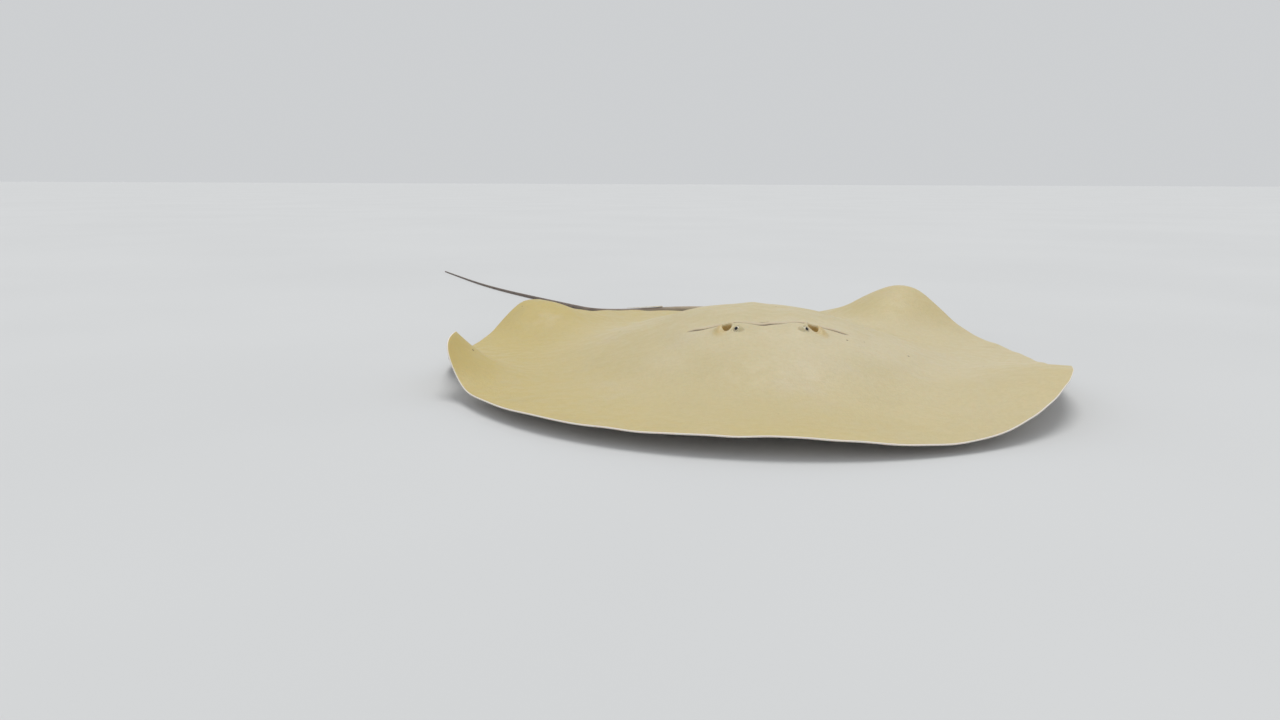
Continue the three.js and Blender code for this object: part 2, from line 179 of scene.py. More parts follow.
def ramp_down(value, end, over):
    """1 until that far before the end and 0 from the end on, smooth between."""
    return smooth_step((end - value) / over)


def near(value, centre, width):
    """Bell-shaped bump, 1 at the centre."""
    return np.exp(-(((value - centre) / width) ** 2))


def lift_and_lean(theta, rho):
    """Height of the belly side over the floor, and how far it leans inwards."""
    soft = ramp_up(rho, ROLL_START, 1 - ROLL_START)
    folded = np.maximum((rho - FOLD_START) / (1 - FOLD_START), 0) ** 2
    lift, lean = MARGIN_LIFT * soft, 0 * rho
    for lobes, rise in ((SOFT_LOBES, soft), (FOLDED_LOBES, folded)):
        for at, width, height, curl in lobes:
            lobe = height * bump(theta, at, width) * rise
            lift = lift + lobe
            lean = lean + curl * lobe
    return lift, lean


def crown_height(y):
    reach = np.where(y < CROWN_Y, -FRONT_REACH, REAR_REACH)
    t = np.minimum((y - CROWN_Y) / reach, 1)
    return CROWN * np.cos(math.pi / 2 * t) ** LENGTH_POWER


def thickness(x, y, rho):
    """Height of the back over the belly side, before the relief."""
    side_reach = SIDE_REACH * np.sqrt(np.maximum(1 - ((y - SIDE_MIDDLE_Y) / SIDE_HALF_LENGTH) ** 2, 0.05))
    bell = (1 + np.abs(x / side_reach) ** BELL_INNER_POWER) ** -BELL_OUTER_POWER
    fade_out = ramp_down(rho, 1, 0.55) ** 0.8
    flesh = FIN_FLESH * np.maximum(1 - rho, 0) ** 1.2 * (1 - bell)
    return RIM + (np.maximum(crown_height(y), RIM) - RIM) * bell * fade_out + flesh


def belly_point(theta, rho):
    lift, lean = lift_and_lean(theta, rho)
    reach = rho * disc_radius(theta) - lean
    return np.stack([reach * np.sin(theta), -reach * np.cos(theta), lift], -1)


def sheet_frame(theta, rho):
    """Points of the belly side, with the unit normal and the unit outward direction there."""
    step = 1e-3
    rho_in = np.maximum(rho, 2 * step)
    outward = belly_point(theta, rho_in + step) - belly_point(theta, rho_in - step)
    along = belly_point(theta + step, rho_in) - belly_point(theta - step, rho_in)
    normal = np.cross(outward, along)
    normal /= np.linalg.norm(normal, axis=-1, keepdims=True)
    outward /= np.linalg.norm(outward, axis=-1, keepdims=True)
    return belly_point(theta, rho), normal, outward


def back_height(x, y):
    rho = math.hypot(x, y) / disc_radius(math.atan2(x, -y))
    return float(thickness(np.float64(x), np.float64(y), rho))


def waves(x, y, length, seed, count=14):
    """Soft irregular swell of about that wavelength, seldom past 1.5 either way."""
    rng = np.random.default_rng(seed)
    total = 0
    for _ in range(count):
        heading = rng.uniform(0, 2 * math.pi)
        stretch = length * rng.uniform(0.7, 1.6)
        phase = rng.uniform(0, 2 * math.pi)
        along = x * math.cos(heading) + y * math.sin(heading)
        total = total + np.sin(along * 2 * math.pi / stretch + phase)
    return total / math.sqrt(count)


def oval(x, y, centre, size, turn=0.0):
    """Distance from a turned oval's centre, 1 on its outline."""
    dx, dy = x - centre[0], y - centre[1]
    across = (dx * math.cos(turn) + dy * math.sin(turn)) / size[0]
    along = (-dx * math.sin(turn) + dy * math.cos(turn)) / size[1]
    return np.hypot(across, along)


# ---- relief of the back ------------------------------------------------------------------------

def soft_max(a, b, blend):
    return (a + b + np.sqrt((a - b) ** 2 + blend ** 2)) / 2


def crease_line(x):
    """The y of the fold that crosses the head behind the eyes, which bows forward at each eye."""
    bow = CREASE_BOW * near(np.abs(x), CREASE_BOW_X, 9)
    return CREASE_Y - bow + 0.9 * np.sin(x / 4.1 + 0.6) + 0.4 * np.sin(x / 1.9)


def crease_mask(x, y):
    """1 along the fold and the short one behind it, fading out past the spiracles."""
    side = np.abs(x)
    width = 0.75 + 0.22 * np.sin(side / 3.7 + 1.2) + 0.35 * near(side, CREASE_WIDE_X, 5)
    broken = 0.8 + 0.2 * np.sin(side / 3.1 + 1.4)
    fold = near(y, crease_line(x), width) * ramp_down(side, CREASE_END_X, 5) * broken
    short = near(y, SHORT_CREASE_Y + 0.25 * x, 0.7) * ramp_down(np.abs(x + 1.5), 4.2, 2.5)
    return np.maximum(fold, 0.8 * short)


def eye_mound(side, y):
    """Height of the mound round the eye, with the lids as a small dome over the eyeball."""
    mound = MOUND_HEIGHT * np.exp(-(oval(side, y, (MOUND_X, MOUND_Y), MOUND_SIZE) ** 2.6))
    from_eye = np.hypot(side - EYE_X, y - EYE_Y)
    lid_radius = EYE_RADIUS + LID_THICKNESS
    dome = EYE_ABOVE + np.sqrt(np.maximum(lid_radius ** 2 - from_eye ** 2, 0))
    dome = dome - LID_FALL * np.maximum(from_eye - lid_radius, 0)
    return soft_max(mound, dome, LID_BLEND)


def eye_socket(side, y):
    """Mask of the opening between the lids, the height of its rim and its depth over the eyeball."""
    place = (EYE_X + OPENING_SHIFT[0], EYE_Y + OPENING_SHIFT[1])
    opening = oval(side, y, place, OPENING_SIZE, OPENING_TURN)
    socket = ramp_down(opening, 1.1, 0.3)
    from_eye = np.hypot(side - EYE_X, y - EYE_Y)
    depth = SOCKET_DEPTH * socket * ramp_down(from_eye, EYE_RADIUS + 0.35, 0.8)
    return socket, LID_RIM_HEIGHT * near(opening, 1.4, 0.25), depth


def spiracle_pit(side, y):
    """Mask of the spiracle's pit, and the height of its rim, raised behind and lowered ahead."""
    spiracle = oval(side, y, (SPIRACLE_X, SPIRACLE_Y), SPIRACLE_SIZE, SPIRACLE_TURN)
    behind = ramp_up(y, SPIRACLE_Y - 1.5, 4)
    ahead = ramp_down(y, SPIRACLE_Y - 1.5, 4)
    rim = SPIRACLE_RIM + SPIRACLE_RIM_BEHIND * behind - SPIRACLE_RIM_AHEAD * ahead
    return ramp_down(spiracle, 1.12, 0.5), rim * near(spiracle, 1.35, 0.3)


def back_relief(x, y, rho):
    """Height that the skin adds on the back, with the masks of its pits, its folds and its stain."""
    side = np.abs(x)
    knob = KNOB_HEIGHT * np.exp(-(oval(side, y, (KNOB_X, KNOB_Y), KNOB_SIZE) ** 2.4))
    pit, pit_rim = spiracle_pit(side, y)
    socket, lid_rim, socket_depth = eye_socket(side, y)
    crease = crease_mask(x, y) * (1 - pit) * (1 - socket)
    lip = near(y, crease_line(x) + 2.4, 1.7) * ramp_down(side, CREASE_END_X - 1, 10)
    eyes_hollow = EYES_HOLLOW_DEPTH * near(oval(x, y, (0, EYE_Y), (8, 16)), 0, 1)
    spine = SPINE_HEIGHT * near(x, 0, 6.5) * ramp_up(y, -30, 40) * ramp_down(y, 168, 50)
    girdle = GIRDLE_HEIGHT * near(oval(side, y, (30, -2), (20, 11)), 0, 1)
    shoulder = SHOULDER_DEPTH * near(side, core_half_width(y), 9)
    shoulder = shoulder * ramp_up(y, -105, 50) * ramp_down(y, 165, 40)
    swell = SWELL_HEIGHT * waves(x, y, SWELL_LENGTH, seed=3) * ramp_down(rho, 1, 0.25)
    height = eye_mound(side, y) + knob + pit_rim + lid_rim + LIP_HEIGHT * lip - eyes_hollow + spine + girdle
    height = height - shoulder + swell - SPIRACLE_DEPTH * pit - socket_depth - CREASE_DEPTH * crease
    stain = near(oval(side, y, (KNOB_X, KNOB_Y - 2), (4, 6)), 0, 1)
    return height, {"pit": pit, "socket": socket, "crease": crease, "lip": lip, "stain": stain}


def core_half_width(y):
    y = np.asarray(y, float)
    front = CORE_HALF_WIDTH * (1 - np.clip(-y / SNOUT_END, 0, 1) ** 2.2) ** (1 / 2.2)
    taper = np.cos(math.pi / 2 * np.clip(y / TAIL_END, 0, 1)) ** 1.3
    rear = ROOT_HALF_WIDTH + (CORE_HALF_WIDTH - ROOT_HALF_WIDTH) * taper
    return np.where(y < 0, front, rear)


def tail_root_share(y):
    """How far the tail's own colour sets in over the rear of the trunk, on the scale of "tailward"."""
    return TAIL_ROOT_SHARE * ramp_up(y, TAIL_COLOUR_FROM, TAIL_END - TAIL_COLOUR_FROM)


def tail_root_height(x, y):
    """Height over the floor of the tail's root where it runs up onto the trunk."""
    t = np.clip((TAIL_END - y) / (TAIL_END - TAIL_ROOT_FROM), 0, 1)
    half_width = TAIL_BASE_RADIUS + (TAIL_ROOT_HALF_WIDTH - TAIL_BASE_RADIUS) * t ** TAIL_ROOT_POWER
    height = TAIL_ROOT_END_HEIGHT + (TAIL_ROOT_HEIGHT - TAIL_ROOT_END_HEIGHT) * t
    inside = np.sqrt(np.maximum(1 - (x / half_width) ** 2, 0))
    return height / 2 * (1 + inside) - TAIL_ROOT_FLANK * np.maximum(np.abs(x) - half_width, 0)


# ---- relief of the belly -----------------------------------------------------------------------

def pelvic_chord(u):
    return PELVIC_CHORD / 2 * np.maximum(1 - np.clip(u, 0, 1) ** 2.4, 0) ** 0.65


def pelvic_mask(x, y):
    """1 over the pelvic fins, falling to 0 a little outside them."""
    u = (np.abs(x) - PELVIC_ROOT) / (PELVIC_SPAN - PELVIC_ROOT)
    from_middle = np.abs(y - PELVIC_Y - PELVIC_SWEEP * u) - pelvic_chord(u)
    outside = np.maximum(from_middle, (u - 1) * 60)
    return ramp_down(outside, 3.5, 3.5) * ramp_up(np.abs(x), 3, 4)


def gill_slits(side, y):
    """Masks of the gill slits and of the flaps ahead of them."""
    slits, flaps = np.zeros_like(side), np.zeros_like(side)
    for k in range(GILL_COUNT):
        dx = side - (GILL_X - GILL_INWARD * k)
        dy = y - (GILL_Y + GILL_STEP * k)
        across = dx * math.cos(GILL_TURN) + dy * math.sin(GILL_TURN)
        along = -dx * math.sin(GILL_TURN) + dy * math.cos(GILL_TURN) + 0.05 * across ** 2
        reach = np.abs(across)
        slit = near(along, 0, 1.1 - 0.16 * reach) * ramp_down(reach, 4.4, 2)
        flap = near(along, -2.4, 2.0) * ramp_down(reach, 6, 2.5)
        slits = np.maximum(slits, slit)
        flaps = np.maximum(flaps, flap)
    return slits, flaps


def belly_relief(x, y):
    """How far the belly is sunk up into the body, with the mask of its openings."""
    side = np.abs(x)
    mouth_line = MOUTH_Y + MOUTH_BOW * x ** 2
    mouth = near(y, mouth_line, 1.3) * ramp_down(side, MOUTH_HALF_WIDTH, 3)
    lips = near(y, mouth_line, 4.5) * ramp_down(side, MOUTH_HALF_WIDTH + 3, 6)
    nostril = ramp_down(oval(side, y, (NOSTRIL_X, NOSTRIL_Y), NOSTRIL_SIZE, 25 * DEG), 1.1, 0.5)
    curtain = near(side, CURTAIN_X + (y - NOSTRIL_Y) * 0.2, 0.8)
    curtain = curtain * ramp_up(y, NOSTRIL_Y, 3) * ramp_down(y, MOUTH_Y + 1, 2)
    slits, flaps = gill_slits(side, y)
    from_cloaca = oval(x, y, (0, CLOACA_Y), CLOACA_SIZE)
    cloaca = ramp_down(from_cloaca, 1.1, 0.6)
    cloaca_ring = near(from_cloaca, 1.9, 0.7)
    trunk_edge = near(side, core_half_width(y), 5) * ramp_up(y, -110, 40) * ramp_down(y, 120, 40)
    pockets = pelvic_mask(x, y) * (PELVIC_THICKNESS + PELVIC_CLEARANCE)
    sunk = MOUTH_DEPTH * mouth + LIPS_DEPTH * lips + NOSTRIL_DEPTH * nostril + CURTAIN_DEPTH * curtain
    sunk = sunk + SLIT_DEPTH * slits + FLAP_DEPTH * flaps
    sunk = sunk + CLOACA_DEPTH * cloaca + CLOACA_RING_DEPTH * cloaca_ring
    sunk = sunk + TRUNK_EDGE_DEPTH * trunk_edge + pockets
    openings = np.maximum.reduce([mouth, nostril, slits, cloaca, 0.6 * curtain])
    return sunk, openings


# ---- meshes ------------------------------------------------------------------------------------

def spread(count, density):
    """Shares from 0 to 1, closer together where the density is higher, without the 0."""
    fine = np.linspace(0, 1, 2001)
    run = np.cumsum(density(fine))
    run = (run - run[0]) / (run[-1] - run[0])
    return np.interp(np.linspace(0, 1, count + 1)[1:], run, fine)


def ring_faces(ring_count, around):
    """Quads between rings of vertices, and triangles to a pole before and a pole after them."""
    k = np.arange(around)
    nxt = (k + 1) % around
    quads = []
    for ring in range(ring_count - 1):
        inner = 1 + ring * around
        outer = inner + around
        quads.append(np.stack([inner + k, outer + k, outer + nxt, inner + nxt], -1))
    last = 1 + ring_count * around
    first_fan = np.stack([np.zeros_like(k), 1 + k, 1 + nxt], -1)
    last_fan = np.stack([np.full_like(k, last), last - around + nxt, last - around + k], -1)
    return np.concatenate(quads), np.concatenate([first_fan, last_fan])


def flat_disc():
    """The disc laid flat, in a bmesh: x and y in place, and as z the share of the way up to the back."""
    # The directions lie closer at the fold, and the rings at the eyes, the margin, the gills and the mouth.
    turns = spread(DIRECTIONS, lambda t: 1 + 1.3 * near(t, 1 - 68 / 360, 0.05))
    back = spread(BACK_RINGS, lambda t: 1 + 1.6 * near(t, 0.31, 0.07) + 1.5 * near(t, 1, 0.06))
    belly = spread(BELLY_RINGS, lambda t: 0.8 + 1.5 * near(t, 0.28, 0.1) + 1.6 * near(t, 0.53, 0.05))
    theta = turns * 2 * math.pi
    rows = [(rho, 1.0) for rho in back]
    rows += [(1.0, 1 - (k + 1) / (RIM_ROWS + 1)) for k in range(RIM_ROWS)]
    rows += [(rho, 0.0) for rho in belly[::-1]]
    radius = disc_radius(theta)
    points = [np.array([[0.0, 0.0, 1.0]])]
    for rho, share in rows:
        ring = [rho * radius * np.sin(theta), -rho * radius * np.cos(theta), np.full(DIRECTIONS, share)]
        points.append(np.stack(ring, -1))
    points.append(np.array([[0.0, 0.0, 0.0]]))
    quads, fans = ring_faces(len(rows), DIRECTIONS)
    mesh = bpy.data.meshes.new("flat_disc")
    mesh.from_pydata(np.concatenate(points).tolist(), [], quads.tolist() + fans.tolist())
    bm = bmesh.new()
    bm.from_mesh(mesh)
    bpy.data.meshes.remove(mesh)
    return bm


def refine(bm, centre, size, share):
    """Halves the cells in an oval patch on both sides of the midline, on the back or the belly."""
    def inside(v):
        dx, dy = (abs(v.co.x) - centre[0]) / size[0], (v.co.y - centre[1]) / size[1]
        return dx * dx + dy * dy < 1 and abs(v.co.z - share) < 0.01
    edges = [e for e in bm.edges if inside(e.verts[0]) and inside(e.verts[1])]
    bmesh.ops.subdivide_edges(bm, edges=edges, cuts=1, use_grid_fill=True)


def bm_arrays(bm):
    bm.verts.ensure_lookup_table()
    bm.verts.index_update()
    points = np.array([v.co[:] for v in bm.verts])
    faces = [[v.index for v in f.verts] for f in bm.faces]
    return points, faces


def back_surface(x, y, rho, lift):
    """Height of the back over the belly side, with the tail's root blended in, and the relief's masks."""
    relief, masks = back_relief(x, y, rho)
    height = thickness(x, y, rho)
    height = height + relief * ramp_down(rho, 1, 0.08)
    root = tail_root_height(x, y) - lift
    joined = soft_max(height, root, 4.0 - 1.8 * ramp_up(y, 130, 30))
    over_root = ramp_up(y, 70, 50) * ramp_down(rho, 1, 0.03) * ramp_down(np.abs(x), 45, 20)
    return height + (joined - height) * over_root, masks


def disc_uv(faces, x, y, share):
    """Plan of the back and plan of the belly side by side. The rim's rows lie just outside the back."""
    uv = []
    for face in faces:
        on_belly = all(share[i] < 0.01 for i in face)
        middle = BELLY_UV if on_belly else BACK_UV
        for i in face:
            grow = 1 if on_belly else 1 + 0.012 * (1 - share[i])
            uv.append((middle[0] + x[i] * grow * UV_PER_MM, middle[1] + y[i] * grow * UV_PER_MM))
    return np.array(uv)


def disc_part():
    """Points, faces, masks and bake map of the disc."""
    bm = flat_disc()
    for centre, size, share in FINE_PATCHES:
        refine(bm, centre, size, share)
    flat, faces = bm_arrays(bm)
    bm.free()
    x, y, share = flat.T
    on_belly, on_back = share < 0.01, share > 0.99
    theta = np.arctan2(x, -y)
    rho = np.clip(np.hypot(x, y) / disc_radius(theta), 0, 1)
    low, normal, outward = sheet_frame(theta, rho)
    lift = low[:, 2]

    height, back_masks = back_surface(x, y, rho, lift)
    sunk, openings = belly_relief(x, y)
    up = np.where(on_belly, np.minimum(sunk, height * 0.45), height * share)
    rounding = RIM / 2 * np.sqrt(np.maximum(1 - (2 * share - 1) ** 2, 0))
    outer = ramp_up(rho, 0.8, 0.2)
    ripple = RIPPLE_HEIGHT * waves(x, y, RIPPLE_LENGTH, seed=11) * outer * outer
    points = low + normal * (up + ripple)[:, None] + outward * rounding[:, None]
    under_root = ramp_down(np.abs(x), 22, 14) * ramp_up(y, 85, 20) * (1 - share)
    points[:, 2] = np.maximum(points[:, 2] - lift * under_root, 0)

    masks = {name: np.where(on_back, mask, 0) for name, mask in back_masks.items()}
    masks["pit"] = np.where(on_belly, openings, masks["pit"])
    masks["back"] = share
    masks["margin"] = rho
    masks["lift"] = np.clip((lift - 3) / 24, 0, 1)
    masks["tailward"] = tail_root_share(y) * ramp_down(np.abs(x), 26, 14)
    return points, faces, masks, disc_uv(faces, x, y, share)


def tail_radius(s):
    whip = TAIL_TIP_RADIUS + (TAIL_WHIP_RADIUS - TAIL_TIP_RADIUS) * np.maximum(1 - s / TAIL_LENGTH, 0) ** 1.15
    return whip + (TAIL_BASE_RADIUS - TAIL_WHIP_RADIUS) * np.exp(-np.maximum(s, 0) / 34)


def tail_heading(s):
    return sum(turn * DEG * ramp_up(s, start, over) for start, over, turn in TAIL_BENDS)


def tail_track():
    """Middle of the tail on the floor at whole millimetres along it."""
    heading = tail_heading(np.arange(TAIL_LENGTH) + 0.5)
    steps = np.stack([-np.sin(heading), np.cos(heading)], -1)
    return np.concatenate([[[0.0, TAIL_END]], np.array([0.0, TAIL_END]) + np.cumsum(steps, 0)])


TRACK = tail_track()


def tail_middle(s):
    whole = np.arange(len(TRACK))
    x = np.interp(s, whole, TRACK[:, 0])
    y = np.interp(s, whole, TRACK[:, 1]) + np.minimum(s, 0)
    return x, y


def tail_ring(s, angle):
    """Ring of points round the tail, flat underneath, with a low keel on top and a fold along each side."""
    radius = float(tail_radius(s))
    t = max(-s, 0) / (TAIL_END - TAIL_ROOT_FROM)
    widening = (TAIL_ROOT_HALF_WIDTH - TAIL_BASE_RADIUS) * t ** TAIL_ROOT_POWER
    half_width = radius + widening - 2.5 * t
    rise = radius - 0.8 * t
    keel = 0.1 * near(angle, math.pi / 2, 0.35) * ramp_up(s, 4, 30) * ramp_down(s, 260, 120)
    folds = 0.14 * near(np.abs(np.cos(angle)), 1, 0.06) * ramp_up(s, 10, 30) * ramp_down(s, 230, 80)
    across = half_width * np.cos(angle) * (1 + folds)
    up = rise * (np.sin(angle) * (1 + keel)) + rise * 0.93
    up = np.maximum(up, 0.5 * ramp_up(-s, 1, 8))
    heading = float(tail_heading(s))
    x, y = tail_middle(s)
    return np.stack([x + across * math.cos(heading), y + across * math.sin(heading), up], -1)


def with_poles(first, ring_values, last):
    """Values at every point of a ringed part: at its first pole, round its rings and at its last pole."""
    return np.concatenate([[first], ring_values, [last]])


def tail_part():
    """Points, faces, masks and bake map of the tail, which starts inside the trunk."""
    inner = np.linspace(-TAIL_INSIDE, 0, 16)[:-1]
    thick = np.linspace(0, TAIL_WHIP_FROM, 110)[:-1]
    whip = np.linspace(TAIL_WHIP_FROM, TAIL_LENGTH, 110)
    stations = np.concatenate([inner, thick, whip])
    angle = -math.pi / 2 + (np.arange(TAIL_SIDES) + 0.5) / TAIL_SIDES * 2 * math.pi
    rows = [tail_ring(s, angle) for s in stations]
    rows.append(rows[-1] * [1, 1, 0.6] + [0, 0, 0.2])
    points = np.concatenate([[rows[0].mean(0)], *rows, [rows[-1].mean(0)]])
    quads, fans = ring_faces(len(rows), TAIL_SIDES)
    faces = quads.tolist() + fans.tolist()

    row_stations = np.append(stations, TAIL_LENGTH)
    along = with_poles(-TAIL_INSIDE, np.repeat(row_stations, TAIL_SIDES), TAIL_LENGTH)
    turn = with_poles(0.0, np.tile(np.arange(TAIL_SIDES) / TAIL_SIDES, len(rows)), 0.0)
    upward = np.clip((np.sin(angle) + 0.75) / 0.55, 0, 1)
    masks = {
        "back": with_poles(0.5, np.tile(upward, len(rows)), 0.5),
        "margin": 0.3 + 0.58 * ramp_down(along, 70, 60),
        "tailward": tail_root_share(TAIL_END + along) + 0.9 * np.clip(along / TAIL_LENGTH, 0, 1),
    }
    uv = []
    for face in faces:
        turns = [turn[i] for i in face]
        wraps = max(turns) - min(turns) > 0.5
        for i in face:
            around = turn[i] + (1 if wraps and turn[i] < 0.5 else 0)
            u = TAIL_UV[0] + (along[i] + TAIL_INSIDE) * TAIL_UV_PER_MM
            uv.append((u, TAIL_UV[1] + around * TAIL_UV_ROUND))
    return points, faces, masks, np.array(uv)


def pelvic_part(side):
    """Points, faces, masks and bake map of one pelvic fin: a soft flap with fin rays, thin at its edge."""
    u = 0.997 * np.sin(math.pi / 2 * np.linspace(0, 1, PELVIC_ROWS))
    v = np.linspace(-1, 1, PELVIC_COLUMNS)
    uu, vv = np.meshgrid(u, v, indexing="ij")
    x = PELVIC_ROOT + uu * (PELVIC_SPAN - PELVIC_ROOT)
    y = PELVIC_Y + PELVIC_SWEEP * uu + vv * pelvic_chord(uu)
    plump = (1 - vv ** 4) * (1 - uu ** 6)
    rays = 0.1 * np.cos(np.arctan2(vv + 0.2, uu + 0.15) * 34) * (0.3 + 0.7 * uu)
    top = 0.5 + (PELVIC_THICKNESS - 0.4 + rays) * plump
    bottom = 0.15 * (1 - plump)
    upper = np.stack([x * side, y, top], -1).reshape(-1, 3)
    lower = np.stack([x * side, y, bottom], -1).reshape(-1, 3)
    points = np.concatenate([upper, lower])
    half = len(upper)
    grid = np.arange(half).reshape(PELVIC_ROWS, PELVIC_COLUMNS)
    cells = np.stack([grid[:-1, :-1], grid[1:, :-1], grid[1:, 1:], grid[:-1, 1:]], -1).reshape(-1, 4)
    border = np.concatenate([grid[:, 0], grid[-1, 1:], grid[::-1, -1][1:], grid[0, ::-1][1:-1]])
    after = np.roll(border, -1)
    walls = np.stack([border, border + half, after + half, after], -1)
    faces = np.concatenate([cells, cells[:, ::-1] + half, walls])
    if side < 0:
        faces = faces[:, ::-1]
    faces = faces.tolist()
    masks = {
        "back": np.repeat([1.0, 0.0], half),
        "margin": np.full(2 * half, 0.5),
        "pelvic": np.tile((0.35 + 0.65 * np.clip((vv + uu) / 2 + 0.3, 0, 1)).ravel(), 2),
    }
    corner = LEFT_PELVIC_UV if side > 0 else RIGHT_PELVIC_UV
    uv = []
    for face in faces:
        shift = PELVIC_UV_UNDER if all(i >= half for i in face) else 0.0
        for i in face:
            px, py, _ = points[i]
            uv.append((corner[0] + abs(px) * UV_PER_MM, corner[1] + shift + (py - PELVIC_Y) * UV_PER_MM))
    return points, faces, masks, np.array(uv)


def link(name, mesh, material):
    """An object of that mesh and material, in the scene."""
    mesh.materials.append(material)
    obj = bpy.data.objects.new(name, mesh)
    bpy.context.scene.collection.objects.link(obj)
    return obj


def shade_smooth(mesh):
    mesh.polygons.foreach_set("use_smooth", np.ones(len(mesh.polygons), bool))


# Point attributes that the skin's material reads.
MASKS = ("back", "margin", "lift", "pit", "socket", "crease", "lip", "stain", "tailward", "pelvic")


def make_object(name, parts, material):
    """One object from parts of points in mm, faces, masks and bake map. A mask that a part lacks is 0."""
    points, faces, uvs = [], [], []
    masks = {key: [] for key in MASKS}
    start = 0
    for part_points, part_faces, part_masks, part_uv in parts:
        points.append(part_points)
        faces += [[start + i for i in face] for face in part_faces]
        uvs.append(part_uv)
        for key in MASKS:
            masks[key].append(part_masks.get(key, np.zeros(len(part_points))))
        start += len(part_points)
    mesh = bpy.data.meshes.new(name)
    mesh.from_pydata((np.concatenate(points) * MM).tolist(), [], faces)
    for key, values in masks.items():
        attribute = mesh.attributes.new(key, "FLOAT", "POINT")
        attribute.data.foreach_set("value", np.concatenate(values).astype(np.float32))
    layer = mesh.uv_layers.new(name="OFBake")
    layer.data.foreach_set("uv", np.concatenate(uvs).astype(np.float32).ravel())
    shade_smooth(mesh)
    mesh.update()
    return link(name, mesh, material)


# ---- materials ---------------------------------------------------------------------------------

class Nodes:
    """Short hand for a material's nodes: a call adds what it names and returns its output."""

    def __init__(self, name):
        self.material = bpy.data.materials.new(name)
        self.material.use_nodes = True
        self.tree = self.material.node_tree
        self.shader = self.tree.nodes["Principled BSDF"]

    def feed(self, socket, value):
        if isinstance(value, bpy.types.NodeSocket):
            self.tree.links.new(value, socket)
        elif socket.type == "RGBA":
            socket.default_value = (*value, 1)
        else:
            socket.default_value = value

    def mask(self, name):
        node = self.tree.nodes.new("ShaderNodeAttribute")
        node.attribute_name = name
        return node.outputs["Fac"]

    def place(self, stretch=(1, 1, 1)):
        """Place on the object in metres, stretched along each axis."""
        coordinates = self.tree.nodes.new("ShaderNodeTexCoord").outputs["Object"]
        if stretch == (1, 1, 1):
            return coordinates
        mapping = self.tree.nodes.new("ShaderNodeMapping")
        mapping.inputs["Scale"].default_value = stretch
        self.feed(mapping.inputs["Vector"], coordinates)
        return mapping.outputs[0]

    def noise(self, scale, detail=3, roughness=0.5, vector=None):
        node = self.tree.nodes.new("ShaderNodeTexNoise")
        self.feed(node.inputs["Vector"], vector or self.place())
        node.inputs["Scale"].default_value = scale
        node.inputs["Detail"].default_value = detail
        node.inputs["Roughness"].default_value = roughness
        return node.outputs["Fac"]

    def cells(self, scale):
        """Distance to the nearest of scattered points, in cells."""
        node = self.tree.nodes.new("ShaderNodeTexVoronoi")
        self.feed(node.inputs["Vector"], self.place())
        node.inputs["Scale"].default_value = scale
        return node.outputs["Distance"]

    def math(self, operation, a, b=0.0):
        node = self.tree.nodes.new("ShaderNodeMath")
        node.operation = operation
        self.feed(node.inputs[0], a)
        self.feed(node.inputs[1], b)
        return node.outputs[0]

    def vector_math(self, operation, a, b):
        node = self.tree.nodes.new("ShaderNodeVectorMath")
        node.operation = operation
        self.feed(node.inputs[0], a)
        self.feed(node.inputs[1], b)
        return node.outputs["Value" if operation == "DOT_PRODUCT" else "Vector"]

    def between(self, value, low, high, to_low=0.0, to_high=1.0):
        """Smooth step from one number to another as the value runs from low to high, which may be less."""
        node = self.tree.nodes.new("ShaderNodeMapRange")
        node.interpolation_type = "SMOOTHSTEP"
        self.feed(node.inputs["Value"], value)
        ends = {"From Min": low, "From Max": high, "To Min": to_low, "To Max": to_high}
        for key, number in ends.items():
            node.inputs[key].default_value = number
        return node.outputs["Result"]

    def mix(self, factor, a, b):
        """Colour a where the factor is 0 and colour b where it is 1."""
        node = self.tree.nodes.new("ShaderNodeMix")
        node.data_type = "RGBA"
        self.feed(node.inputs[0], factor)
        self.feed(node.inputs[6], a)
        self.feed(node.inputs[7], b)
        return node.outputs[2]

    def bumped(self, height, distance, strength, normal=None):
        node = self.tree.nodes.new("ShaderNodeBump")
        node.inputs["Strength"].default_value = strength
        node.inputs["Distance"].default_value = distance
        self.feed(node.inputs["Height"], height)
        if normal is not None:
            self.feed(node.inputs["Normal"], normal)
        return node.outputs[0]

    def finish(self, **values):
        """Sets the shader's inputs and returns the material."""
        for key, value in values.items():
            self.feed(self.shader.inputs[key.replace("_", " ")], value)
        return self.material


# Fin rays round the margin of the disc, which show as fine stripes from below.
FIN_RAYS = 540

CREAM = (0.565, 0.480, 0.270)
YELLOW = (0.545, 0.428, 0.140)
PALE = (0.615, 0.535, 0.345)
DUSTY = (0.580, 0.500, 0.355)
OLIVE = (0.420, 0.350, 0.165)
LIP = (0.575, 0.465, 0.350)
RIM_WHITE = (0.90, 0.83, 0.76)
STAIN = (0.56, 0.43, 0.19)
BELLY = (0.78, 0.72, 0.64)
BELLY_PINK = (0.62, 0.47, 0.42)
OPENING = (0.26, 0.12, 0.10)
SPIRACLE_BROWN = (0.47, 0.320, 0.110)
# Darker brown painted as shade in the deepest part of the spiracle's pit.
SPIRACLE_DEEP_SHADE = (0.30, 0.180, 0.060)
# Painted shade along the fold behind the eyes: darkest in the fold, softer beside it.
FOLD_SHADE = (0.110, 0.078, 0.052)
FOLD_EDGE_SHADE = (0.300, 0.225, 0.150)
LID = (0.50, 0.43, 0.29)
SPECK = (0.10, 0.065, 0.03)
STRIPE = (0.56, 0.49, 0.42)
PELVIC_RED = (0.42, 0.23, 0.20)
PELVIC_EDGE = (0.50, 0.30, 0.16)
TAIL_MAUVE = (0.430, 0.340, 0.245)
TAIL_GREY = (0.200, 0.155, 0.120)
TAIL_DARK = (0.120, 0.092, 0.075)
TAIL_UNDER = (0.50, 0.38, 0.34)

